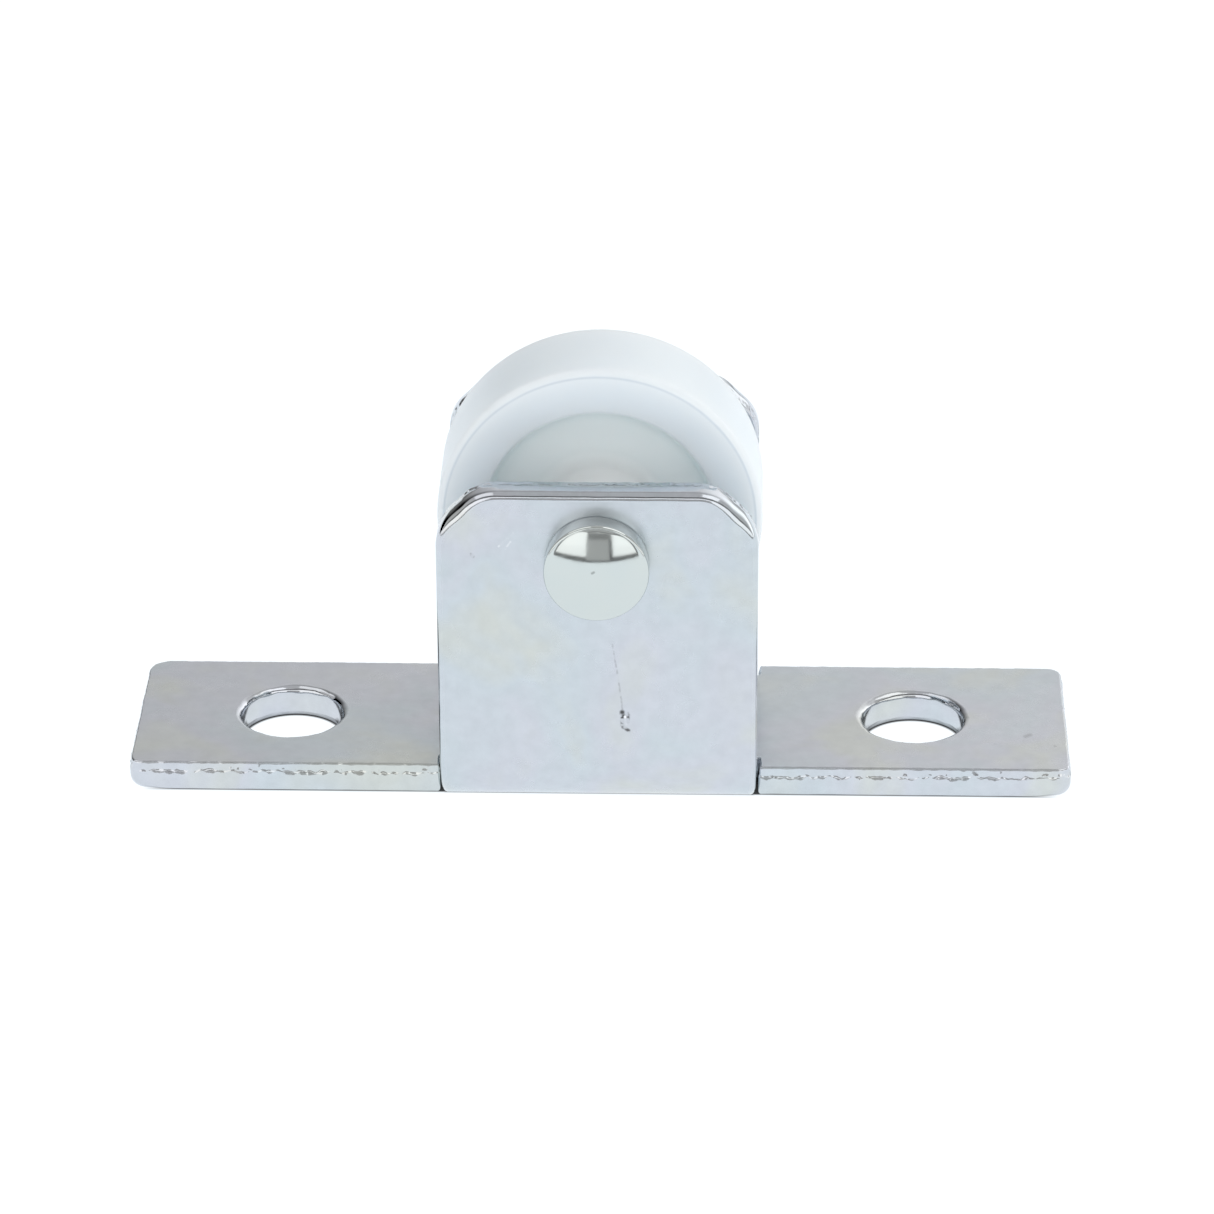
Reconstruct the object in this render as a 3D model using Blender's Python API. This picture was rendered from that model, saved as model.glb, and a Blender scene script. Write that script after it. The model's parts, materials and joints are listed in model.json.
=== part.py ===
"""Sliding door roller: a folded steel bracket with a nylon wheel on a riveted axle.

Frame: X runs along the base plate, Y along the axle, +Z up.  The origin is the
middle of the plate's underside.  The round head of the rivet is on the -Y side.
Driving dimensions are in millimetres and the mesh is built in metres.
"""
import math

import bmesh
import bpy
from mathutils import Matrix, Vector

MM = 0.001

# Base plate
SHEET = 2.5
PLATE_LENGTH = 73.2
PLATE_WIDTH = 17.1
PLATE_CORNER_RADIUS = 1.5
SCREW_HOLE_DIAMETER = 8.0
SCREW_HOLE_SPACING = 49.0

# Upright ears, folded up from the plate
EAR_WIDTH = 24.4
EAR_HEIGHT = 27.3
CHANNEL_WIDTH = 22.7
BEND_RADIUS_OUTSIDE = 4.1
EAR_CORNER_CHAMFER = 3.1
EAR_CORNER_RADIUS = 3.0
RELIEF_SLIT_WIDTH = 0.3
RELIEF_SLIT_DEPTH = 1.55

# Axle
AXLE_HEIGHT = 21.5
EAR_HOLE_DIAMETER = 5.2
RIVET_SHANK_DIAMETER = 4.6
RIVET_HEAD_DIAMETER = 8.0
RIVET_HEAD_SIDE = 1.8
RIVET_HEAD_CROWN = 0.95
RIVET_TAIL_DIAMETER = 7.2
RIVET_TAIL_SIDE = 0.7
RIVET_TAIL_CROWN = 0.9
SLEEVE_OUTSIDE_DIAMETER = 6.6
SLEEVE_BORE_DIAMETER = 5.2

# Wheel
WHEEL_DIAMETER = 25.0
RIM_WIDTH = 8.2
RIM_EDGE_RADIUS = 0.6
RECESS_MOUTH_RADIUS = 8.9
RECESS_FLOOR_RADIUS = 8.7
RECESS_EDGE_RADIUS = 0.5
WEB_THICKNESS = 5.8
HUB_DIAMETER = 8.6
HUB_LENGTH = 15.2
HUB_EDGE_RADIUS = 0.4
WHEEL_BORE_DIAMETER = 7.0
WHEEL_OFFSET = 0.3

# Gap left between pieces that touch on the real roller
CONTACT_GAP = 0.3

WHEEL_SEGMENTS = 72
AXLE_SEGMENTS = 48
HOLE_SEGMENTS = 48
BEND_SEGMENTS = 8
CORNER_SEGMENTS = 5
FILLET_SEGMENTS = 3
CROWN_SEGMENTS = 6

ZINC = (0.62, 0.66, 0.69, 1.0)
BRIGHT_ZINC = (0.70, 0.73, 0.74, 1.0)
PLAIN_STEEL = (0.52, 0.52, 0.53, 1.0)
NYLON = (0.86, 0.89, 0.90, 1.0)


def clear_scene():
    for thing in list(bpy.data.objects):
        bpy.data.objects.remove(thing, do_unlink=True)


def make_material(name, color, roughness, metallic):
    material = bpy.data.materials.new(name)
    material.use_nodes = True
    shader = material.node_tree.nodes["Principled BSDF"]
    shader.inputs["Base Color"].default_value = color
    shader.inputs["Roughness"].default_value = roughness
    shader.inputs["Metallic"].default_value = metallic
    material.diffuse_color = color
    return material


def arc(center, radius, start, end, steps):
    """Points on an arc, from the start angle to the end angle in degrees."""
    points = []
    for step in range(steps + 1):
        angle = math.radians(start + (end - start) * step / steps)
        points.append((center[0] + radius * math.cos(angle), center[1] + radius * math.sin(angle)))
    return points


def object_from_bmesh(bm, name, material=None):
    bmesh.ops.remove_doubles(bm, verts=bm.verts, dist=1e-7)
    bmesh.ops.recalc_face_normals(bm, faces=bm.faces)
    mesh = bpy.data.meshes.new(name)
    bm.to_mesh(mesh)
    bm.free()
    thing = bpy.data.objects.new(name, mesh)
    bpy.context.collection.objects.link(thing)
    if material:
        mesh.materials.append(material)
    return thing


def prism(name, outline, place, start, end):
    """Extrude a flat outline; place(a, b, depth) gives each corner's position in mm."""
    bm = bmesh.new()
    near = [bm.verts.new(Vector(place(a, b, start)) * MM) for a, b in outline]
    far = [bm.verts.new(Vector(place(a, b, end)) * MM) for a, b in outline]
    bm.faces.new(near)
    bm.faces.new(list(reversed(far)))
    for index in range(len(outline)):
        following = (index + 1) % len(outline)
        bm.faces.new((near[following], near[index], far[index], far[following]))
    return object_from_bmesh(bm, name)


def turned(name, profile, segments, material, closed):
    """Spin an (axial, radial) profile about its axis, which lies along Y."""
    bm = bmesh.new()
    verts = [bm.verts.new((radial * MM, axial * MM, 0.0)) for axial, radial in profile]
    edges = [bm.edges.new(pair) for pair in zip(verts, verts[1:])]
    if closed:
        edges.append(bm.edges.new((verts[-1], verts[0])))
    bmesh.ops.spin(bm, geom=verts + edges, cent=(0, 0, 0), axis=(0, 1, 0),
                   angle=2 * math.pi, steps=segments)
    thing = object_from_bmesh(bm, name, material)
    thing.data.shade_smooth()
    thing.data.set_sharp_from_angle(angle=math.radians(35))
    return thing


def combine(target, tool, operation):
    """Apply a Boolean to the target with the tool, which becomes a hidden guide."""
    modifier = target.modifiers.new(f"{operation.lower()}_{tool.name}", "BOOLEAN")
    modifier.operation = operation
    modifier.solver = "EXACT"
    modifier.object = tool
    tool.hide_render = True
    tool.display_type = "WIRE"


def round_cutter(name, diameter, start, end, matrix):
    """A closed round bar along local Z, from start to end, placed by the matrix."""
    outline = arc((0, 0), diameter / 2, 0, 360 - 360 / HOLE_SEGMENTS, HOLE_SEGMENTS - 1)
    cutter = prism(name, outline, lambda a, b, depth: (a, b, depth), start, end)
    cutter.matrix_world = matrix
    return cutter


def plate_outline():
    """Plan of the base plate, with a relief slit on each side of both ears."""
    half_length = PLATE_LENGTH / 2
    half_width = PLATE_WIDTH / 2
    radius = PLATE_CORNER_RADIUS
    slit_near = EAR_WIDTH / 2
    slit_far = slit_near + RELIEF_SLIT_WIDTH
    slit_floor = half_width - RELIEF_SLIT_DEPTH
    quarter = [(slit_near, slit_floor), (slit_far, slit_floor), (slit_far, half_width)]
    corner = (half_length - radius, half_width - radius)
    quarter += arc(corner, radius, 90, 0, CORNER_SEGMENTS)
    right = quarter + [(x, -y) for x, y in reversed(quarter)]
    return right + [(-x, y) for x, y in reversed(right)]


def channel_outline():
    """Section of the folded channel in the YZ plane: two ears and the web below."""
    outer = CHANNEL_WIDTH / 2
    inner = outer - SHEET
    centre = (outer - BEND_RADIUS_OUTSIDE, BEND_RADIUS_OUTSIDE)
    bend_inside = BEND_RADIUS_OUTSIDE - SHEET
    right = arc(centre, BEND_RADIUS_OUTSIDE, -90, 0, BEND_SEGMENTS)
    right += [(outer, EAR_HEIGHT), (inner, EAR_HEIGHT)]
    right += arc(centre, bend_inside, 0, -90, BEND_SEGMENTS)
    left_outer = [(-y, z) for y, z in reversed(right)]
    return right + left_outer


def rounded_chamfer(corner_x, corner_z, side):
    """Points round one top corner of an ear, from its vertical edge to its top edge."""
    radius = EAR_CORNER_RADIUS
    tangent = radius * math.tan(math.radians(22.5))
    low = (corner_x - radius, corner_z - EAR_CORNER_CHAMFER - tangent)
    high = (corner_x - EAR_CORNER_CHAMFER - tangent, corner_z - radius)
    points = arc(low, radius, 0, 45, CORNER_SEGMENTS) + arc(high, radius, 45, 90, CORNER_SEGMENTS)
    return [(side * x, z) for x, z in points]


def ear_outline():
    """Front elevation of the channel, rounded at the ears' top corners."""
    half = EAR_WIDTH / 2
    right = [(half, 0.0)] + rounded_chamfer(half, EAR_HEIGHT, 1)
    left = [(-x, z) for x, z in reversed(right)]
    return right + left


def build_bracket(material):
    """One steel pressing: the plate, and the channel that its ears make, joined."""
    plate = prism("bracket", plate_outline(), lambda x, y, z: (x, y, z), 0.0, SHEET)
    plate.data.materials.append(material)
    channel = prism("channel_guide", channel_outline(), lambda y, z, x: (x, y, z),
                    -EAR_WIDTH / 2, EAR_WIDTH / 2)
    reach = CHANNEL_WIDTH
    elevation = prism("ear_elevation_guide", ear_outline(), lambda x, z, y: (x, y, z),
                      -reach, reach)
    combine(channel, elevation, "INTERSECT")
    combine(plate, channel, "UNION")
    for label, side in (("left", -1), ("right", 1)):
        place = Matrix.Translation((side * SCREW_HOLE_SPACING / 2 * MM, 0, 0))
        cutter = round_cutter(f"{label}_screw_hole_guide", SCREW_HOLE_DIAMETER,
                              -SHEET, 2 * SHEET, place)
        combine(plate, cutter, "DIFFERENCE")
    lying = Matrix.Translation((0, 0, AXLE_HEIGHT * MM)) @ Matrix.Rotation(math.pi / 2, 4, "X")
    cutter = round_cutter("axle_hole_guide", EAR_HOLE_DIAMETER, -reach, reach, lying)
    combine(plate, cutter, "DIFFERENCE")
    return plate


def crown(half_width, height, start, side):
    """Profile of a domed end, from its rim at the start plane to the axis."""
    radius = (half_width ** 2 + height ** 2) / (2 * height)
    points = []
    for step in range(CROWN_SEGMENTS + 1):
        radial = half_width * (1 - step / CROWN_SEGMENTS)
        rise = math.sqrt(radius ** 2 - radial ** 2) - (radius - height)
        points.append((start + side * rise, radial))
    return points


def build_rivet(material):
    """The axle: a domed head in front, a plain shank and a formed tail behind."""
    face = CHANNEL_WIDTH / 2 + CONTACT_GAP
    head_plane = -face - RIVET_HEAD_SIDE + CONTACT_GAP
    tail_plane = face + RIVET_TAIL_SIDE
    shank = RIVET_SHANK_DIAMETER / 2
    head = crown(RIVET_HEAD_DIAMETER / 2, RIVET_HEAD_CROWN, head_plane, -1)
    tail = crown(RIVET_TAIL_DIAMETER / 2, RIVET_TAIL_CROWN, tail_plane, 1)
    profile = list(reversed(head))
    profile += [(-face, RIVET_HEAD_DIAMETER / 2), (-face, shank), (face, shank)]
    profile += [(face, RIVET_TAIL_DIAMETER / 2)] + tail
    rivet = turned("axle_rivet", profile, AXLE_SEGMENTS, material, closed=False)
    rivet.location = (0, 0, AXLE_HEIGHT * MM)
    return rivet


def build_sleeve(material):
    """Steel tube round the rivet that keeps the ears apart and carries the wheel."""
    half = CHANNEL_WIDTH / 2 - SHEET - CONTACT_GAP
    outside = SLEEVE_OUTSIDE_DIAMETER / 2
    bore = SLEEVE_BORE_DIAMETER / 2
    profile = [(-half, bore), (-half, outside), (half, outside), (half, bore)]
    sleeve = turned("axle_sleeve", profile, AXLE_SEGMENTS, material, closed=True)
    sleeve.location = (0, 0, AXLE_HEIGHT * MM)
    return sleeve


def half_wheel_profile():
    """Wheel section on the +Y side of its mid plane, from the tread to the bore."""
    rim = RIM_WIDTH / 2
    radius = WHEEL_DIAMETER / 2
    edge = RIM_EDGE_RADIUS
    lip = RECESS_EDGE_RADIUS
    web = WEB_THICKNESS / 2
    hub = HUB_DIAMETER / 2
    end = HUB_LENGTH / 2
    hub_edge = HUB_EDGE_RADIUS
    points = arc((rim - edge, radius - edge), edge, 90, 0, FILLET_SEGMENTS)
    points += arc((rim - lip, RECESS_MOUTH_RADIUS + lip), lip, 0, -90, FILLET_SEGMENTS)
    points += arc((web + lip, RECESS_FLOOR_RADIUS - lip), lip, 90, 180, FILLET_SEGMENTS)
    points += arc((web + lip, hub + lip), lip, 180, 270, FILLET_SEGMENTS)
    points += arc((end - hub_edge, hub - hub_edge), hub_edge, 90, 0, FILLET_SEGMENTS)
    points.append((end, WHEEL_BORE_DIAMETER / 2))
    return points


def build_wheel(material):
    """Moulded nylon wheel: rim, recessed web and a hub that runs on the sleeve."""
    half = half_wheel_profile()
    profile = half + [(-axial, radial) for axial, radial in reversed(half)]
    wheel = turned("wheel", profile, WHEEL_SEGMENTS, material, closed=True)
    wheel.location = (0, WHEEL_OFFSET * MM, AXLE_HEIGHT * MM)
    return wheel


def main():
    clear_scene()
    build_bracket(make_material("zinc_plated_steel", ZINC, 0.32, 1.0))
    build_rivet(make_material("bright_zinc_rivet", BRIGHT_ZINC, 0.18, 1.0))
    build_sleeve(make_material("plain_steel_tube", PLAIN_STEEL, 0.35, 1.0))
    build_wheel(make_material("natural_nylon", NYLON, 0.38, 0.0))


main()
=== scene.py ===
import json
import math

import bmesh
import bpy
from mathutils import Matrix, Vector, noise


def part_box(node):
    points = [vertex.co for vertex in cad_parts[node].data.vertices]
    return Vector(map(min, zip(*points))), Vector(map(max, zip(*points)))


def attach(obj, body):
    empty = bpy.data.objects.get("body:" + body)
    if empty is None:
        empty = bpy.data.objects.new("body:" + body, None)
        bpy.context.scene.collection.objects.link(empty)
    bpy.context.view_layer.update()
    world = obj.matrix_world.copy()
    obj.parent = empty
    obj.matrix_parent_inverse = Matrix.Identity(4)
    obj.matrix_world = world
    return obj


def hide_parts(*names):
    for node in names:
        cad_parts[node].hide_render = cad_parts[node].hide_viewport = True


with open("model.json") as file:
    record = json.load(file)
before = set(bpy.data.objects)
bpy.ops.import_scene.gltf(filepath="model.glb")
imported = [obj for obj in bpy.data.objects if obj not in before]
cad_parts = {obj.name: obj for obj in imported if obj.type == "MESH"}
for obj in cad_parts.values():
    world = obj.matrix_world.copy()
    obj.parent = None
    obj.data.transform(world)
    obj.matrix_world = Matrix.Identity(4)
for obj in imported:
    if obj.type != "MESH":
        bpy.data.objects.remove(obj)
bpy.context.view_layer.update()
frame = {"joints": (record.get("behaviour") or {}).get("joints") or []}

MM = 0.001

# ---------------------------------------------------------------- sizes, in mm
bracket_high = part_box("bracket")[1] / MM
wheel_low, wheel_high = (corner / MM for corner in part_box("wheel"))
rivet_low, rivet_high = (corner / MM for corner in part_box("axle_rivet"))
sleeve_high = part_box("axle_sleeve")[1] / MM
spin_axis = Vector(frame["joints"][0]["pos_m"]) / MM

# Pressed sheet: the plate and its two ears
SHEET = 2.5
PLATE_HALF_LENGTH = bracket_high.x
PLATE_HALF_WIDTH = 8.55
EAR_HALF_WIDTH = 12.2
EAR_TOP = bracket_high.z
CHANNEL_HALF_WIDTH = bracket_high.y
BEND_OUTSIDE = 4.1
SLIT_WIDTH = 0.12
SLIT_DEPTH = 1.55
EAR_CHAMFER = 3.1
EAR_CORNER_RADIUS = 3.8
SCREW_HOLE_RADIUS = 3.95
SCREW_HOLE_PLACE = 24.5
EAR_HOLE_RADIUS = 2.6
BEND_START = CHANNEL_HALF_WIDTH - BEND_OUTSIDE
BEND_LENGTH = math.pi / 2 * (BEND_OUTSIDE - SHEET / 2)
# On the flat blank, the run from the plate's middle line to the top of an ear
EAR_END = BEND_START + BEND_LENGTH + EAR_TOP - BEND_OUTSIDE
BEND_STEPS = 28
EDGE_STEP = 0.15
# The plate's corners, each rounded a little differently
BACK_RIGHT_RADIUS = 1.3
BACK_LEFT_RADIUS = 1.8
FRONT_RADIUS = 1.0
SLIT_MOUTH_RADIUS = 0.2
SLIT_FLOOR_RADIUS = 0.06

AXLE_HEIGHT = spin_axis.z


# ------------------------------------------------------------ small geometry
def arc(center, radius, start, end, steps):
    """Points on an arc, from the start angle to the end angle in degrees."""
    points = []
    for step in range(steps + 1):
        angle = math.radians(start + (end - start) * step / steps)
        points.append((center[0] + radius * math.cos(angle), center[1] + radius * math.sin(angle)))
    return points


def wander(along, seed, size):
    """Smooth random value from -1 to 1 that changes over about the given length.

    Each seed reads the noise along a line of its own.
    """
    return noise.noise(Vector((along / size, seed * 7.31, seed * 3.17)))


def filleted_loop(corners, step):
    """Evenly spaced points round a closed polygon whose corners are (x, y, radius)."""
    points = []
    count = len(corners)
    for index, (x, y, radius) in enumerate(corners):
        here = Vector((x, y))
        before = Vector(corners[index - 1][:2]) - here
        after = Vector(corners[(index + 1) % count][:2]) - here
        turn = math.pi - before.angle(after)
        reach = radius * math.tan(turn / 2)
        start = here + before.normalized() * reach
        end = here + after.normalized() * reach
        bisector = (before.normalized() + after.normalized()).normalized()
        centre = here + bisector * (radius / math.cos(turn / 2))
        first = (start - centre).angle_signed(Vector((1, 0)))
        sweep = (end - centre).angle_signed(start - centre)
        steps = max(2, round(abs(sweep) * radius / step))
        for part in range(steps + 1):
            angle = first + sweep * part / steps
            points.append(centre + radius * Vector((math.cos(angle), math.sin(angle))))
        following = corners[(index + 1) % count]
        next_turn = math.pi - (-after).angle(
            Vector(corners[(index + 2) % count][:2]) - Vector(following[:2]))
        next_reach = following[2] * math.tan(next_turn / 2)
        run_end = Vector(following[:2]) - after.normalized() * next_reach
        run = run_end - end
        pieces = max(1, round(run.length / step))
        points += [end + run * part / pieces for part in range(1, pieces)]
    return points


def circle_loop(x, y, radius, step):
    """Points round a hole, clockwise, so that its outward side is the hole's middle."""
    count = round(2 * math.pi * radius / step)
    return [Vector((x + radius * math.cos(angle), y - radius * math.sin(angle)))
            for angle in (2 * math.pi * index / count for index in range(count))]


def object_from_bmesh(bm, name):
    """Put the finished mesh in the scene under the name."""
    mesh = bpy.data.meshes.new(name)
    bm.to_mesh(mesh)
    bm.free()
    thing = bpy.data.objects.new(name, mesh)
    bpy.context.scene.collection.objects.link(thing)
    return thing


# ------------------------------------------------------------------- bracket
def blank_corners():
    """Corners of the flat blank, anticlockwise, each with its fillet radius."""
    slit_far = EAR_HALF_WIDTH + SLIT_WIDTH
    slit_floor = PLATE_HALF_WIDTH - SLIT_DEPTH
    slit_and_ear = [
        (slit_far, PLATE_HALF_WIDTH, SLIT_MOUTH_RADIUS),
        (slit_far, slit_floor, SLIT_FLOOR_RADIUS),
        (EAR_HALF_WIDTH, slit_floor, SLIT_FLOOR_RADIUS),
        (EAR_HALF_WIDTH, EAR_END - EAR_CHAMFER, EAR_CORNER_RADIUS),
        (EAR_HALF_WIDTH - EAR_CHAMFER, EAR_END, EAR_CORNER_RADIUS),
    ]
    ear = slit_and_ear + [(-x, s, radius) for x, s, radius in reversed(slit_and_ear)]
    back = [(PLATE_HALF_LENGTH, PLATE_HALF_WIDTH, BACK_RIGHT_RADIUS)] + ear
    back += [(-PLATE_HALF_LENGTH, PLATE_HALF_WIDTH, BACK_LEFT_RADIUS)]
    front = [(-PLATE_HALF_LENGTH, -PLATE_HALF_WIDTH, FRONT_RADIUS)]
    front += [(-x, -s, radius) for x, s, radius in ear]
    front += [(PLATE_HALF_LENGTH, -PLATE_HALF_WIDTH, FRONT_RADIUS)]
    return back + front


def corner_swell(point):
    """How much deeper the sheared edge rolls over at the blank's outer corners and ear ends."""
    plate = Vector((PLATE_HALF_LENGTH, PLATE_HALF_WIDTH))
    ear = Vector((EAR_HALF_WIDTH - EAR_CHAMFER / 2, EAR_END - EAR_CHAMFER / 2))
    here = Vector((abs(point.x), abs(point.y)))
    near_plate = math.exp(-((here - plate).length / 1.8) ** 2)
    near_ear = math.exp(-((here - ear).length / 2.4) ** 2)
    along_top = 0.35 if here.y > EAR_END - 1.5 else 0.0
    return near_plate + max(0.9 * near_ear, along_top)


def quarter(inset, height, radius_in, radius_up, top, steps):
    """Quarter-round points where a face meets the wall, listed from the top down."""
    points = []
    for step in range(steps + 1):
        angle = math.radians(90 * step / steps)
        if top:
            points.append((inset + radius_in * (1 - math.sin(angle)),
                           height - radius_up * (1 - math.cos(angle))))
        else:
            points.append((inset + radius_in * (1 - math.cos(angle)),
                           height + radius_up * (1 - math.sin(angle))))
    return points


# The sheared edge's bands, each of which wanders a little about these values
TORN_BAND = 0.78
TORN_LEAN = 0.10
RAGGED_LIP = 0.05
INNER_RIM = 0.17
ROLL_INWARD = 0.42
ROLL_UPWARD = 0.46
RAGGEDNESS = 0.11


def sheared_edge(along, swell, seed):
    """Edge profile as (inset, height), from the inner face down to the outer one.

    Under a tight inner rim comes the torn band, which leans back a little and ends
    on a ragged lip, then the smooth sheared band, then the rolled-over outer rim.
    """
    tear = SHEET - TORN_BAND + 0.16 * wander(along, seed, 1.3) + 0.20 * wander(along, seed + 1, 0.4)
    lean = TORN_LEAN + 0.03 * wander(along, seed + 2, 0.9) + 0.02 * wander(along, seed + 9, 0.3)
    lip = RAGGED_LIP + 0.08 * wander(along, seed + 3, 0.45)
    rim = INNER_RIM + 0.06 * wander(along, seed + 6, 0.6)
    roll_in = ROLL_INWARD + 0.45 * swell + 0.04 * wander(along, seed + 4, 2.0)
    roll_up = ROLL_UPWARD + 0.75 * swell + 0.06 * wander(along, seed + 5, 1.2)
    profile = quarter(lean, SHEET, rim, rim, True, 4)
    for share, jitter in ((0.35, 7), (0.7, 8)):
        ragged = RAGGEDNESS * wander(along, seed + jitter, 0.3)
        inset = lean + (lip - lean) * share + ragged
        profile.append((max(0.0, inset), SHEET - rim + (tear + rim - SHEET) * share))
    profile += [(max(0.01, lip), tear + 0.04), (0.0, tear - 0.05), (0.0, (tear + roll_up) / 2)]
    return profile + quarter(0.0, 0.0, roll_in, roll_up, False, 8)


def punched_edge(along, swell, seed):
    """Hole profile: rolled rim on the inner face, smooth wall, thin torn rim outside."""
    roll = 0.50 + 0.12 * wander(along, seed, 1.5) + 0.07 * wander(along, seed + 1, 0.5)
    drop = 0.48 + 0.20 * wander(along, seed + 2, 0.9)
    tear = 0.42 + 0.12 * wander(along, seed + 3, 1.0)
    profile = quarter(0.0, SHEET, roll, drop, True, 8)
    profile += [(0.0, (SHEET - drop + tear) / 2), (0.0, tear + 0.04)]
    profile.append((0.05, tear - 0.04))
    return profile + quarter(0.09, 0.0, 0.10, 0.12, False, 3)


def add_edge_rings(bm, loop, profile_at, seed, swell):
    """Wall of the blank along one loop; returns its boundary edges on both faces."""
    count = len(loop)
    rings = []
    along = 0.0
    for index, point in enumerate(loop):
        direction = (loop[(index + 1) % count] - loop[index - 1]).normalized()
        outward = Vector((direction.y, -direction.x))
        along += (point - loop[index - 1]).length
        column = []
        for inset, height in profile_at(along, swell(point), seed):
            spot = point - outward * inset
            column.append(bm.verts.new((spot.x, spot.y, height)))
        rings.append(column)
    for index in range(count):
        column, following = rings[index], rings[(index + 1) % count]
        for level in range(len(column) - 1):
            corners = (column[level], column[level + 1], following[level + 1], following[level])
            bm.faces.new(corners).material_index = 1
    top = [bm.edges.get((rings[i][0], rings[(i + 1) % count][0])) for i in range(count)]
    bottom = [bm.edges.get((rings[i][-1], rings[(i + 1) % count][-1])) for i in range(count)]
    return top, bottom


def folded(place, normal):
    """Carry a point and a normal of the flat blank to where folding puts them."""
    side = 1.0 if place.y >= 0 else -1.0
    run = abs(place.y)
    height = place.z
    across = normal.y * side
    x = place.x
    if run <= BEND_START or abs(x) > EAR_HALF_WIDTH + SLIT_WIDTH / 2:
        return Vector((x, place.y, height)), normal
    angle = min((run - BEND_START) / (BEND_OUTSIDE - SHEET / 2), math.pi / 2)
    # The sheet spreads along its inner face and draws in along its outer one
    squeeze = math.sin(2 * angle) if angle < math.pi / 2 else 0.0
    x *= 1.0 + 0.006 * squeeze * (2 * height / SHEET - 1.2)
    reach = BEND_OUTSIDE - height
    past = max(0.0, run - BEND_START - BEND_LENGTH)
    y = BEND_START + reach * math.sin(angle)
    z = BEND_OUTSIDE - reach * math.cos(angle) + past
    leaning = Vector((normal.x,
                      side * (across * math.cos(angle) - normal.z * math.sin(angle)),
                      across * math.sin(angle) + normal.z * math.cos(angle)))
    return Vector((x, side * y, z)), leaning


def build_bracket():
    """Model the blank flat, with its sheared edges, then fold up both ears."""
    bm = bmesh.new()
    ear_hole_run = BEND_START + BEND_LENGTH + AXLE_HEIGHT - BEND_OUTSIDE
    outline = filleted_loop(blank_corners(), EDGE_STEP)
    top, bottom = add_edge_rings(bm, outline, sheared_edge, 1, corner_swell)
    for seed, side in ((30, -1), (60, 1)):
        screw_hole = circle_loop(side * SCREW_HOLE_PLACE, 0, SCREW_HOLE_RADIUS, EDGE_STEP)
        ear_hole = circle_loop(0, side * ear_hole_run, EAR_HOLE_RADIUS, EDGE_STEP)
        for hole, hole_seed in ((screw_hole, seed), (ear_hole, seed + 15)):
            upper, lower = add_edge_rings(bm, hole, punched_edge, hole_seed, lambda point: 0.0)
            top += upper
            bottom += lower
    bmesh.ops.triangle_fill(bm, use_beauty=True, edges=top, normal=(0, 0, 1))
    bmesh.ops.triangle_fill(bm, use_beauty=True, edges=bottom, normal=(0, 0, -1))
    for step in range(BEND_STEPS + 1):
        for side in (-1, 1):
            place = side * (BEND_START + BEND_LENGTH * step / BEND_STEPS)
            bmesh.ops.bisect_plane(bm, geom=bm.verts[:] + bm.edges[:] + bm.faces[:],
                                   dist=1e-5, plane_co=(0, place, 0), plane_no=(0, 1, 0))
    bmesh.ops.recalc_face_normals(bm, faces=bm.faces)
    bm.normal_update()
    normals = []
    for vert in bm.verts:
        normal = vert.normal.copy()
        if vert.co.z > SHEET - 1e-5:
            normal = Vector((0, 0, 1))
        elif vert.co.z < 1e-5:
            normal = Vector((0, 0, -1))
        place, normal = folded(vert.co, normal)
        vert.co = place * MM
        normals.append(normal)
    bracket = object_from_bmesh(bm, "bracket_pressing")
    bracket.data.shade_smooth()
    bracket.data.normals_split_custom_set_from_vertices(normals)
    return bracket


# -------------------------------------------------------------- turned pieces
def turned(name, profile, segments, closed, centre):
    """Spin an (axial, radial) profile about the axle's line through the centre."""
    bm = bmesh.new()
    verts = [bm.verts.new((radial * MM, axial * MM, 0.0)) for axial, radial in profile]
    edges = [bm.edges.new(pair) for pair in zip(verts, verts[1:])]
    if closed:
        edges.append(bm.edges.new((verts[-1], verts[0])))
    bmesh.ops.spin(bm, geom=verts + edges, cent=(0, 0, 0), axis=(0, 1, 0),
                   angle=2 * math.pi, steps=segments)
    bmesh.ops.remove_doubles(bm, verts=bm.verts, dist=1e-7)
    bmesh.ops.recalc_face_normals(bm, faces=bm.faces)
    thing = object_from_bmesh(bm, name)
    thing.data.shade_smooth()
    thing.data.set_sharp_from_angle(angle=math.radians(38))
    thing.location = centre * MM
    return thing


def cap_profile(rim_radius, rim_plane, height, side, steps):
    """Points of a shallow dome from just inside its rim to the axis."""
    radius = (rim_radius ** 2 + height ** 2) / (2 * height)
    points = []
    for step in range(steps + 1):
        radial = rim_radius * (1 - step / steps)
        rise = math.sqrt(radius ** 2 - radial ** 2) - (radius - height)
        points.append((rim_plane + side * rise, radial))
    return points


RIVET_HEAD_RADIUS = rivet_high.x
RIVET_SHANK_RADIUS = 2.3
RIVET_TAIL_RADIUS = 3.6
HEAD_CROWN = 0.95
HEAD_FILLET = 0.22
HEAD_FILLET_DEPTH = 0.26
TAIL_CROWN = 0.5
TAIL_FILLET = 0.55
RIM_BREAK = 0.12
TAIL_BREAK = 0.15
SEAT = 0.02


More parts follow.
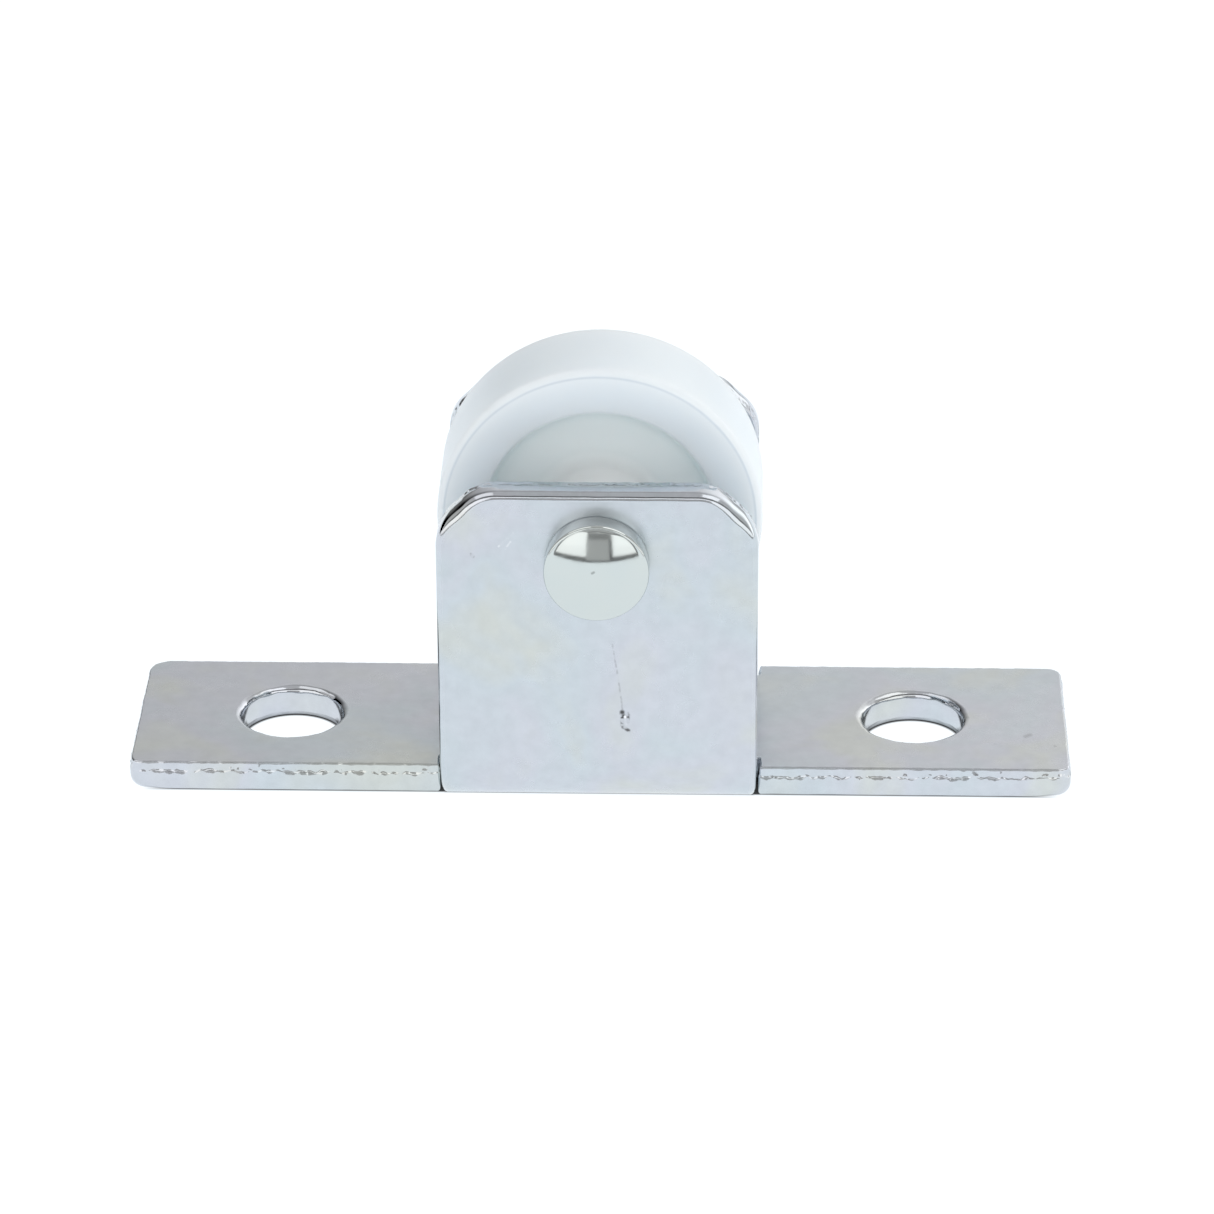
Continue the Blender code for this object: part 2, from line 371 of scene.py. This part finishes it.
def build_rivet():
    """Domed head in front, plain shank, and a hammered tail behind."""
    face = CHANNEL_HALF_WIDTH + SEAT
    rim_plane = rivet_low.y + HEAD_CROWN
    inner = RIVET_HEAD_RADIUS - HEAD_FILLET
    profile = list(reversed(cap_profile(inner, rim_plane, HEAD_CROWN, -1, 20)))
    for step in range(1, 15):
        angle = math.radians(90 * step / 14)
        profile.append((rim_plane + HEAD_FILLET_DEPTH * (1 - math.cos(angle)),
                        inner + HEAD_FILLET * math.sin(angle)))
    profile += arc((-face - RIM_BREAK, RIVET_HEAD_RADIUS - RIM_BREAK), RIM_BREAK, 90, 0, 3)
    profile += [(-face, RIVET_SHANK_RADIUS), (face, RIVET_SHANK_RADIUS)]
    profile += arc((face + TAIL_BREAK, RIVET_TAIL_RADIUS - TAIL_BREAK), TAIL_BREAK, 180, 90, 3)
    tail_plane = rivet_high.y - TAIL_CROWN
    fillet_centre = (tail_plane - TAIL_FILLET, RIVET_TAIL_RADIUS - TAIL_FILLET)
    profile += arc(fillet_centre, TAIL_FILLET, 90, 20, 8)
    tail_rim = RIVET_TAIL_RADIUS - TAIL_FILLET * 0.66
    profile += cap_profile(tail_rim, tail_plane - 0.03, TAIL_CROWN, 1, 12)
    centre = Vector((0, 0, AXLE_HEIGHT))
    return turned("rivet_pin", profile, 128, False, centre)


SLEEVE_BORE_RADIUS = 2.6
SLEEVE_EDGE = 0.12


def build_sleeve():
    """Plain tube round the rivet, with its edges broken."""
    half = sleeve_high.y
    outside = sleeve_high.x
    bore = SLEEVE_BORE_RADIUS
    edge = SLEEVE_EDGE
    profile = [(-half, bore + edge), (-half, outside - edge), (-half + edge, outside),
               (half - edge, outside), (half, outside - edge), (half, bore + edge),
               (half - edge, bore), (-half + edge, bore)]
    return turned("spacer_tube", profile, 96, True, Vector((0, 0, AXLE_HEIGHT)))


WHEEL_RADIUS = wheel_high.x
RIM_HALF = 4.1
RIM_EDGE = 0.6
HUB_HALF = (wheel_high.y - wheel_low.y) / 2
HUB_RADIUS = 4.3
BORE_RADIUS = 3.5
RECESS_MOUTH = 8.9
RECESS_FLOOR = 8.7
RECESS_LIP = 0.3
WEB_HALF = 2.9
RECESS_ROOT = 0.4
HUB_ROOT = 1.3
HUB_EDGE = 0.35
BORE_EDGE = 0.15
# Radius of the dark ring painted into the nylon's colour as the shade line at the rim's rounded edge
SHADE_LINE_RADIUS = 11.98


def half_wheel_profile():
    """Wheel section on the +Y side, from the middle of the tread to the bore."""
    points = [(0.0, WHEEL_RADIUS), (RIM_HALF * 0.5, WHEEL_RADIUS)]
    points += arc((RIM_HALF - RIM_EDGE, WHEEL_RADIUS - RIM_EDGE), RIM_EDGE, 90, 0, 10)
    points += arc((RIM_HALF - RECESS_LIP, RECESS_MOUTH + RECESS_LIP), RECESS_LIP, 0, -88, 8)
    points += arc((WEB_HALF + RECESS_ROOT, RECESS_FLOOR - RECESS_ROOT), RECESS_ROOT, 88, 180, 8)
    points += arc((WEB_HALF + HUB_ROOT, HUB_RADIUS + HUB_ROOT), HUB_ROOT, 180, 268, 10)
    points += arc((HUB_HALF - HUB_EDGE, HUB_RADIUS - HUB_EDGE), HUB_EDGE, 90, 0, 6)
    points += [(HUB_HALF, BORE_RADIUS + BORE_EDGE), (HUB_HALF - BORE_EDGE, BORE_RADIUS)]
    return points


def build_wheel():
    """Rim, recessed web and hub, the same on both sides."""
    half = half_wheel_profile()
    profile = half + [(-axial, radial) for axial, radial in reversed(half[1:])]
    return turned("nylon_wheel", profile, 240, True, spin_axis)


# ----------------------------------------------------------------- materials
def principled(name, **values):
    """New material and its shader, with the values that are the same all over it."""
    material = bpy.data.materials.new(name)
    material.use_nodes = True
    shader = material.node_tree.nodes["Principled BSDF"]
    for socket, value in values.items():
        shader.inputs[socket.replace("_", " ")].default_value = value
    return material, shader


class Nodes:
    """Short calls for adding and linking shader nodes."""

    def __init__(self, material):
        self.tree = material.node_tree
        self.coordinate = self.add("ShaderNodeTexCoord").outputs["Object"]

    def add(self, kind, **settings):
        node = self.tree.nodes.new(kind)
        for key, value in settings.items():
            setattr(node, key, value)
        return node

    def link(self, source, target):
        self.tree.links.new(source, target)

    def stretched(self, scale):
        """The object's coordinates, multiplied by the scale along each axis."""
        node = self.add("ShaderNodeMapping")
        node.inputs["Scale"].default_value = scale
        self.link(self.coordinate, node.inputs["Vector"])
        return node.outputs["Vector"]

    def noise(self, scale, detail=2.0, roughness=0.5, vector=None, distortion=0.0):
        node = self.add("ShaderNodeTexNoise")
        node.inputs["Scale"].default_value = scale
        node.inputs["Detail"].default_value = detail
        node.inputs["Roughness"].default_value = roughness
        node.inputs["Distortion"].default_value = distortion
        self.link(vector or self.coordinate, node.inputs["Vector"])
        return node.outputs["Fac"]

    def ramp(self, source, stops):
        node = self.add("ShaderNodeValToRGB")
        ramp = node.color_ramp
        while len(ramp.elements) < len(stops):
            ramp.elements.new(0.5)
        for element, (position, color) in zip(ramp.elements, stops):
            element.position = position
            element.color = (*color, 1.0)
        self.link(source, node.inputs["Fac"])
        return node.outputs["Color"]

    def spread(self, source, low, high, to_low, to_high):
        """The range from low to high, carried to another range and held at its ends."""
        node = self.add("ShaderNodeMapRange")
        limits = {"From Min": low, "From Max": high, "To Min": to_low, "To Max": to_high}
        for socket, value in limits.items():
            node.inputs[socket].default_value = value
        self.link(source, node.inputs["Value"])
        return node.outputs["Result"]

    def mix(self, factor, first, second, blend="MIX"):
        node = self.add("ShaderNodeMix", data_type="RGBA", blend_type=blend)
        # The node has sockets of the same names for numbers and vectors, so these are by place
        sockets = [node.inputs[0], node.inputs[6], node.inputs[7]]
        for socket, value in zip(sockets, (factor, first, second)):
            if isinstance(value, bpy.types.NodeSocket):
                self.link(value, socket)
            else:
                socket.default_value = value
        return node.outputs[2]

    def math(self, operation, first, second=0.0):
        node = self.add("ShaderNodeMath", operation=operation)
        for socket, value in zip(node.inputs, (first, second)):
            if isinstance(value, bpy.types.NodeSocket):
                self.link(value, socket)
            else:
                socket.default_value = value
        return node.outputs[0]

    def stroke(self, start, end, half_width, soft):
        """One on a short straight mark between two points of the object, nought away from it."""
        start, end = Vector(start) * MM, Vector(end) * MM
        span = end - start
        offset = self.add("ShaderNodeVectorMath", operation="SUBTRACT")
        self.link(self.coordinate, offset.inputs[0])
        offset.inputs[1].default_value = start
        dot = self.add("ShaderNodeVectorMath", operation="DOT_PRODUCT")
        self.link(offset.outputs[0], dot.inputs[0])
        dot.inputs[1].default_value = span / span.length_squared
        share = self.add("ShaderNodeClamp")
        self.link(dot.outputs["Value"], share.inputs["Value"])
        foot = self.add("ShaderNodeVectorMath", operation="SCALE")
        foot.inputs[0].default_value = span
        self.link(share.outputs[0], foot.inputs["Scale"])
        away = self.add("ShaderNodeVectorMath", operation="DISTANCE")
        self.link(offset.outputs[0], away.inputs[0])
        self.link(foot.outputs[0], away.inputs[1])
        outer, inner = (half_width + soft) * MM, half_width * MM
        return self.spread(away.outputs["Value"], outer, inner, 0.0, 1.0)

    def bump(self, height, distance, strength=1.0, normal=None):
        node = self.add("ShaderNodeBump")
        node.inputs["Strength"].default_value = strength
        node.inputs["Distance"].default_value = distance
        self.link(height, node.inputs["Height"])
        if normal:
            self.link(normal, node.inputs["Normal"])
        return node.outputs["Normal"]


FRONT = -CHANNEL_HALF_WIDTH
# Pit, fine line and scratches on the front ear, and smudges on the right flange:
# from, to, half width, soft edge, strength, brightness
WEAR_MARKS = [
    ((1.88, FRONT, 8.8), (1.94, FRONT, 7.7), 0.10, 0.16, 1.0, 0.10),
    ((2.32, FRONT, 8.7), (2.28, FRONT, 8.0), 0.08, 0.12, 1.0, 0.15),
    ((1.96, FRONT, 7.5), (2.36, FRONT, 7.2), 0.07, 0.13, 1.0, 0.15),
    ((2.10, FRONT, 8.4), (2.14, FRONT, 7.7), 0.06, 0.08, 0.90, 0.98),
    ((1.12, FRONT, 14.8), (1.60, FRONT, 11.6), 0.02, 0.09, 0.40, 0.25),
    ((1.60, FRONT, 11.6), (1.90, FRONT, 9.0), 0.02, 0.09, 0.40, 0.25),
    ((-7.4, FRONT, 22.9), (-6.3, FRONT, 24.0), 0.03, 0.08, 0.45, 0.95),
    ((-6.9, FRONT, 22.7), (-6.5, FRONT, 23.3), 0.03, 0.08, 0.35, 0.95),
    ((-9.46, FRONT, 22.2), (-9.38, FRONT, 22.05), 0.10, 0.10, 0.70, 0.22),
    ((33.2, -3.1, SHEET), (33.6, -2.8, SHEET), 0.10, 0.22, 0.35, 0.25),
    ((35.5, -4.6, SHEET), (35.6, -4.5, SHEET), 0.08, 0.14, 0.45, 0.25),
]


def zinc_material(name, smooth, rough, marks):
    """Bright zinc plate with the faint blue, lilac and straw tints of its passivation."""
    material, shader = principled(name, Metallic=1.0)
    nodes = Nodes(material)
    cloud = nodes.noise(75.0, 3.0, 0.55, distortion=0.6)
    tint = nodes.ramp(cloud, [
        (0.32, (0.608, 0.630, 0.602)),
        (0.45, (0.580, 0.626, 0.660)),
        (0.57, (0.600, 0.618, 0.664)),
        (0.68, (0.615, 0.635, 0.620)),
    ])
    grain = nodes.noise(900.0, 3.0, 0.6)
    shade = nodes.spread(grain, 0.3, 0.7, 0.965, 1.035)
    color = nodes.mix(1.0, tint, shade, "MULTIPLY")
    flecks = nodes.spread(nodes.noise(2600.0, 1.0, 0.5), 0.42, 0.58, 0.1, 1.0)
    for start, end, half_width, soft, strength, gray in marks:
        mask = nodes.math("MULTIPLY", nodes.stroke(start, end, half_width, soft), strength)
        mask = nodes.math("MULTIPLY", mask, flecks)
        color = nodes.mix(mask, color, (gray, gray, gray * 1.02, 1.0))
    nodes.link(color, shader.inputs["Base Color"])
    patch = nodes.noise(160.0, 4.0, 0.6)
    nodes.link(nodes.spread(patch, 0.3, 0.7, smooth, rough), shader.inputs["Roughness"])
    rolled = nodes.noise(1.0, 3.0, 0.6, nodes.stretched((260.0, 1400.0, 1400.0)))
    first = nodes.bump(rolled, 0.000012, 0.5)
    pores = nodes.noise(2600.0, 2.0, 0.5)
    nodes.link(nodes.bump(pores, 0.000008, 0.5, first), shader.inputs["Normal"])
    return material


def rivet_material():
    """Polished plate on the rivet, a little cleaner than the sheet's."""
    material, shader = principled("rivet_zinc", Metallic=1.0)
    nodes = Nodes(material)
    cloud = nodes.noise(260.0, 3.0, 0.5)
    plate = nodes.ramp(cloud, [(0.3, (0.63, 0.665, 0.645)), (0.7, (0.61, 0.655, 0.645))])
    crest = rivet_low.y + 0.02
    pip = nodes.stroke((-0.27, crest, 0.56), (-0.15, crest, 0.64), 0.05, 0.09)
    pip = nodes.math("MULTIPLY", pip, 0.5)
    nodes.link(nodes.mix(pip, plate, (0.16, 0.17, 0.16, 1.0)), shader.inputs["Base Color"])
    nodes.link(nodes.spread(nodes.noise(700.0, 4.0, 0.6), 0.3, 0.7, 0.07, 0.13),
               shader.inputs["Roughness"])
    nodes.link(nodes.bump(nodes.noise(1500.0, 2.0, 0.5), 0.000006, 0.4), shader.inputs["Normal"])
    return material


def tube_material():
    """Plain drawn steel, with faint lines along the tube."""
    material, shader = principled("plain_steel", Metallic=1.0)
    nodes = Nodes(material)
    drawn = nodes.noise(1.0, 3.0, 0.6, nodes.stretched((3000.0, 200.0, 3000.0)))
    nodes.link(nodes.ramp(drawn, [(0.3, (0.46, 0.46, 0.47)), (0.7, (0.58, 0.58, 0.59))]),
               shader.inputs["Base Color"])
    nodes.link(nodes.spread(drawn, 0.3, 0.7, 0.28, 0.42), shader.inputs["Roughness"])
    return material


def nylon_material():
    """Natural nylon: milky, slightly translucent, with a satin moulded skin. Its colour holds
    painted light and shade: lighter and greener in the recess, and a painted dark shade line at the
    rim's edge.
    """
    material, shader = principled("nylon", Roughness=0.34, Subsurface_Weight=1.0,
                                  Subsurface_Scale=0.0028, IOR=1.53)
    shader.inputs["Subsurface Radius"].default_value = (1.0, 1.0, 1.0)
    nodes = Nodes(material)
    split = nodes.add("ShaderNodeSeparateXYZ")
    nodes.link(nodes.coordinate, split.inputs[0])
    squares = nodes.math("ADD", nodes.math("MULTIPLY", split.outputs["X"], split.outputs["X"]),
                         nodes.math("MULTIPLY", split.outputs["Z"], split.outputs["Z"]))
    radius = nodes.math("SQRT", squares)
    share = nodes.spread(radius, 0.0, WHEEL_RADIUS * MM, 0.0, 1.0)
    shade_line_share = SHADE_LINE_RADIUS / WHEEL_RADIUS
    # Painted light and shade by radius: the web and hub are painted lighter and greener to stand in
    # for light in the recess, and the face grows a little lighter towards the rim
    rings = nodes.ramp(share, [
        (RECESS_FLOOR / WHEEL_RADIUS, (0.835, 0.892, 0.900)),
        (RECESS_MOUTH / WHEEL_RADIUS + 0.01, (0.790, 0.845, 0.892)),
        # Dark ring: painted shade line just inside the rim's rounded edge
        (shade_line_share - 0.012, (0.812, 0.866, 0.910)),
        (shade_line_share, (0.640, 0.710, 0.775)),
        (shade_line_share + 0.010, (0.815, 0.875, 0.925)),
    ])
    cloud = nodes.noise(90.0, 3.0, 0.5)
    nodes.link(nodes.mix(1.0, rings, nodes.spread(cloud, 0.3, 0.7, 0.985, 1.015), "MULTIPLY"),
               shader.inputs["Base Color"])
    skin = nodes.noise(700.0, 3.0, 0.5)
    nodes.link(nodes.bump(skin, 0.00001, 0.35), shader.inputs["Normal"])
    return material


# -------------------------------------------------------------------- studio
CAMERA_AZIMUTH = 1.680
CAMERA_ELEVATION = 27.214
CAMERA_ROLL = -0.275
CAMERA_DISTANCE = 432.27
CAMERA_ASIDE = 0.371
CAMERA_ABOVE = 10.668
CAMERA_LENS = 161.98


def add_camera():
    """Long lens a little above the roller, aimed past its middle."""
    azimuth, elevation, roll = map(math.radians, (CAMERA_AZIMUTH, CAMERA_ELEVATION, CAMERA_ROLL))
    back = Vector((math.sin(azimuth) * math.cos(elevation),
                   -math.cos(azimuth) * math.cos(elevation), math.sin(elevation)))
    level = Vector((math.cos(azimuth), math.sin(azimuth), 0))
    upright = back.cross(level)
    right = level * math.cos(roll) + upright * math.sin(roll)
    up = -level * math.sin(roll) + upright * math.cos(roll)
    data = bpy.data.cameras.new("camera")
    data.lens = CAMERA_LENS
    data.sensor_width = 36.0
    data.clip_start = 0.01
    camera = bpy.data.objects.new("camera", data)
    bpy.context.scene.collection.objects.link(camera)
    rotation = Matrix((right, up, back)).transposed().to_4x4()
    place = (back * CAMERA_DISTANCE + right * CAMERA_ASIDE + up * CAMERA_ABOVE) * MM
    camera.matrix_world = Matrix.Translation(place) @ rotation
    bpy.context.scene.camera = camera


# In metres: how far the floor runs, and where it stops in front
FLOOR_REACH = 3.0
FLOOR_FRONT = 0.215
# Glow of the floor in the open, and the low glow that paints a contact shadow under the metal
FLOOR_GLOW = 0.96
PAINTED_SHADOW_GLOW = 0.02
PAINTED_SHADOW_SOFTNESS = 0.0001


def add_floor():
    """White sweep, bright enough to wash out, with a contact shadow painted into its glow right
    under the metal.
    """
    mesh = bpy.data.meshes.new("floor")
    corners = [(-FLOOR_REACH, -FLOOR_FRONT, 0), (FLOOR_REACH, -FLOOR_FRONT, 0),
               (FLOOR_REACH, FLOOR_REACH, 0), (-FLOOR_REACH, FLOOR_REACH, 0)]
    mesh.from_pydata(corners, [], [(0, 1, 2, 3)])
    floor = bpy.data.objects.new("floor", mesh)
    bpy.context.scene.collection.objects.link(floor)
    material, shader = principled("floor_white", Roughness=0.9, Specular_IOR_Level=0.1)
    shader.inputs["Base Color"].default_value = (0.14, 0.14, 0.14, 1.0)
    shader.inputs["Emission Color"].default_value = (0.97, 1.02, 1.06, 1.0)
    nodes = Nodes(material)
    split = nodes.add("ShaderNodeSeparateXYZ")
    nodes.link(nodes.coordinate, split.inputs[0])
    along = nodes.math("ABSOLUTE", split.outputs["X"])
    across = nodes.math("ABSOLUTE", split.outputs["Y"])

    def beyond(half_length, half_width, fade):
        """Distance outside a rectangle; a small fade softens the painted shadow at its ends."""
        past_end = nodes.math("MULTIPLY", nodes.math("SUBTRACT", along, half_length * MM), fade)
        return nodes.math("MAXIMUM", past_end, nodes.math("SUBTRACT", across, half_width * MM))

    plate = beyond(PLATE_HALF_LENGTH - 2.4, PLATE_HALF_WIDTH - 0.20, 0.07)
    ears = beyond(EAR_HALF_WIDTH - 0.2, BEND_START + 1.15, 1.0)
    outside = nodes.math("MINIMUM", plate, ears)
    offset = nodes.math("SUBTRACT", along, SCREW_HOLE_PLACE * MM)
    squares = nodes.math("ADD", nodes.math("MULTIPLY", offset, offset),
                         nodes.math("MULTIPLY", across, across))
    hole = nodes.math("SUBTRACT", (SCREW_HOLE_RADIUS - 0.02) * MM, nodes.math("SQRT", squares))
    open_air = nodes.math("MAXIMUM", outside, hole)
    # Painted contact shadow: the glow drops to a low level inside the metal's footprint, apart from
    # the screw holes
    strength = nodes.spread(open_air, -PAINTED_SHADOW_SOFTNESS, PAINTED_SHADOW_SOFTNESS, PAINTED_SHADOW_GLOW, FLOOR_GLOW)
    nodes.link(strength, shader.inputs["Emission Strength"])
    mesh.materials.append(material)


def add_softbox(name, place, target, width, height, power):
    """Rectangular lamp, out of the camera's sight, aimed at the target."""
    data = bpy.data.lights.new(name, "AREA")
    data.shape = "RECTANGLE"
    data.size, data.size_y = width, height
    data.energy = power
    lamp = bpy.data.objects.new(name, data)
    bpy.context.scene.collection.objects.link(lamp)
    lamp.location = place
    lamp.rotation_euler = (Vector(target) - Vector(place)).to_track_quat("-Z", "Y").to_euler()
    lamp.visible_camera = False
    return lamp


class RoomNodes:
    """Short calls for the maths nodes of the room's shader."""

    def __init__(self, tree):
        self.tree = tree

    def math(self, operation, *values):
        node = self.tree.nodes.new("ShaderNodeMath")
        node.operation = operation
        for socket, value in zip(node.inputs, values):
            if isinstance(value, bpy.types.NodeSocket):
                self.tree.links.new(value, socket)
            else:
                socket.default_value = value
        return node.outputs[0]

    def within(self, value, low, high, soft):
        """One inside the interval and nought outside it, with soft ends."""
        rise = self.tree.nodes.new("ShaderNodeMapRange")
        fall = self.tree.nodes.new("ShaderNodeMapRange")
        for node, start, end in ((rise, low - soft, low + soft), (fall, high + soft, high - soft)):
            node.interpolation_type = "SMOOTHSTEP"
            node.inputs["From Min"].default_value = start
            node.inputs["From Max"].default_value = end
            self.tree.links.new(value, node.inputs["Value"])
        return self.math("MULTIPLY", rise.outputs[0], fall.outputs[0])

    def blend(self, factor, base, value):
        """The base, replaced by the value where the factor is one."""
        gap = self.math("SUBTRACT", value, base)
        return self.math("MULTIPLY_ADD", factor, gap, base)


# Brightness of the room by angle, in degrees from the level front over the top to the back
ROOM_LEVELS = [(-30, 0.16), (-1.5, 0.16), (0.5, 1.3), (8, 1.3), (14, 1.4), (38, 1.4), (43, 0.18),
               (58, 0.18), (66, 0.60), (118, 0.60), (128, 0.45), (142, 0.76), (153, 0.86),
               (167, 0.88), (175, 0.40), (180, 0.30)]
ROOM_START = -30.0
ROOM_END = 180.0
ROOM_PEAK = 4.0
# Window post, its dark right edge and the dark bar above it: from and to sideways, from
# and to upward, softness sideways and upward, level
WINDOW_BARS = [(-12.0, 14.0, -4.0, 28.0, 0.8, 1.0, 0.52),
               (13.0, 16.5, -4.0, 26.0, 0.6, 1.0, 0.14),
               (-11.0, 14.0, 19.0, 26.0, 1.0, 1.5, 0.28)]
BACKDROP = 1.1


def add_world():
    """Room round the roller: windows with a post in front, a grey ceiling and a pale wall behind."""
    world = bpy.data.worlds.new("room")
    world.use_nodes = True
    tree = world.node_tree
    tree.nodes.clear()
    room = RoomNodes(tree)
    coordinate = tree.nodes.new("ShaderNodeTexCoord")
    split = tree.nodes.new("ShaderNodeSeparateXYZ")
    tree.links.new(coordinate.outputs["Generated"], split.inputs[0])
    sideways, upward = split.outputs["X"], split.outputs["Z"]
    forward = room.math("MULTIPLY", split.outputs["Y"], -1.0)
    over = room.math("DEGREES", room.math("ARCTAN2", upward, forward))
    aside = room.math("DEGREES", room.math("ARCTAN2", sideways, forward))
    share = tree.nodes.new("ShaderNodeMapRange")
    share.inputs["From Min"].default_value = ROOM_START
    share.inputs["From Max"].default_value = ROOM_END
    tree.links.new(over, share.inputs["Value"])
    ramp = tree.nodes.new("ShaderNodeValToRGB")
    elements = ramp.color_ramp.elements
    while len(elements) < len(ROOM_LEVELS):
        elements.new(0.5)
    for element, (degrees, level) in zip(elements, ROOM_LEVELS):
        element.position = (degrees - ROOM_START) / (ROOM_END - ROOM_START)
        element.color = (level / ROOM_PEAK, level / ROOM_PEAK, level / ROOM_PEAK, 1)
    tree.links.new(share.outputs[0], ramp.inputs["Fac"])
    level = room.math("MULTIPLY", ramp.outputs["Color"], ROOM_PEAK)
    for left, right, low, high, soft_aside, soft_over, bar_level in WINDOW_BARS:
        bar = room.math("MULTIPLY", room.within(aside, left, right, soft_aside),
                        room.within(over, low, high, soft_over))
        level = room.blend(bar, level, bar_level)
    # Behind the roller the pale wall is brighter towards the right
    slant = room.math("MULTIPLY_ADD", sideways, 1.2, 1.0)
    wall = room.within(over, 120.0, 200.0, 8.0)
    level = room.math("MULTIPLY", level, room.blend(wall, 1.0, slant))
    background = tree.nodes.new("ShaderNodeBackground")
    tree.links.new(level, background.inputs["Color"])
    background.inputs["Strength"].default_value = 1.0
    white = tree.nodes.new("ShaderNodeBackground")
    white.inputs["Color"].default_value = (1, 1, 1, 1)
    white.inputs["Strength"].default_value = BACKDROP
    # The room is only reflected; behind the roller there is a plain white backdrop
    path = tree.nodes.new("ShaderNodeLightPath")
    choose = tree.nodes.new("ShaderNodeMixShader")
    tree.links.new(path.outputs["Is Camera Ray"], choose.inputs[0])
    tree.links.new(background.outputs[0], choose.inputs[1])
    tree.links.new(white.outputs[0], choose.inputs[2])
    output = tree.nodes.new("ShaderNodeOutputWorld")
    tree.links.new(choose.outputs[0], output.inputs["Surface"])
    bpy.context.scene.world = world


def finish_piece(piece, node, body, material):
    """Give the piece its material and its place in the frame."""
    piece.data.materials.append(material)
    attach(piece, body)
    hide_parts(node)


add_camera()
add_floor()
add_world()
add_softbox("softbox_left", (-0.50, 0.0, 0.95), (0, 0, 0.01), 0.8, 0.7, 1.0)
add_softbox("softbox_right", (0.50, 0.0, 0.95), (0, 0, 0.01), 0.8, 0.7, 1.5)
fill = add_softbox("softbox_front", (0.10, -0.95, 0.75), (0, 0, 0.02), 0.9, 0.5, 1.5)
fill.visible_glossy = False

bracket = build_bracket()
finish_piece(bracket, "bracket", "frame",
             zinc_material("zinc_plate", 0.24, 0.34, WEAR_MARKS))
bracket.data.materials.append(zinc_material("zinc_cut_edge", 0.09, 0.15, []))
finish_piece(build_rivet(), "axle_rivet", "frame", rivet_material())
finish_piece(build_sleeve(), "axle_sleeve", "frame", tube_material())
finish_piece(build_wheel(), "wheel", "wheel", nylon_material())

bpy.context.scene.view_settings.view_transform = "Standard"
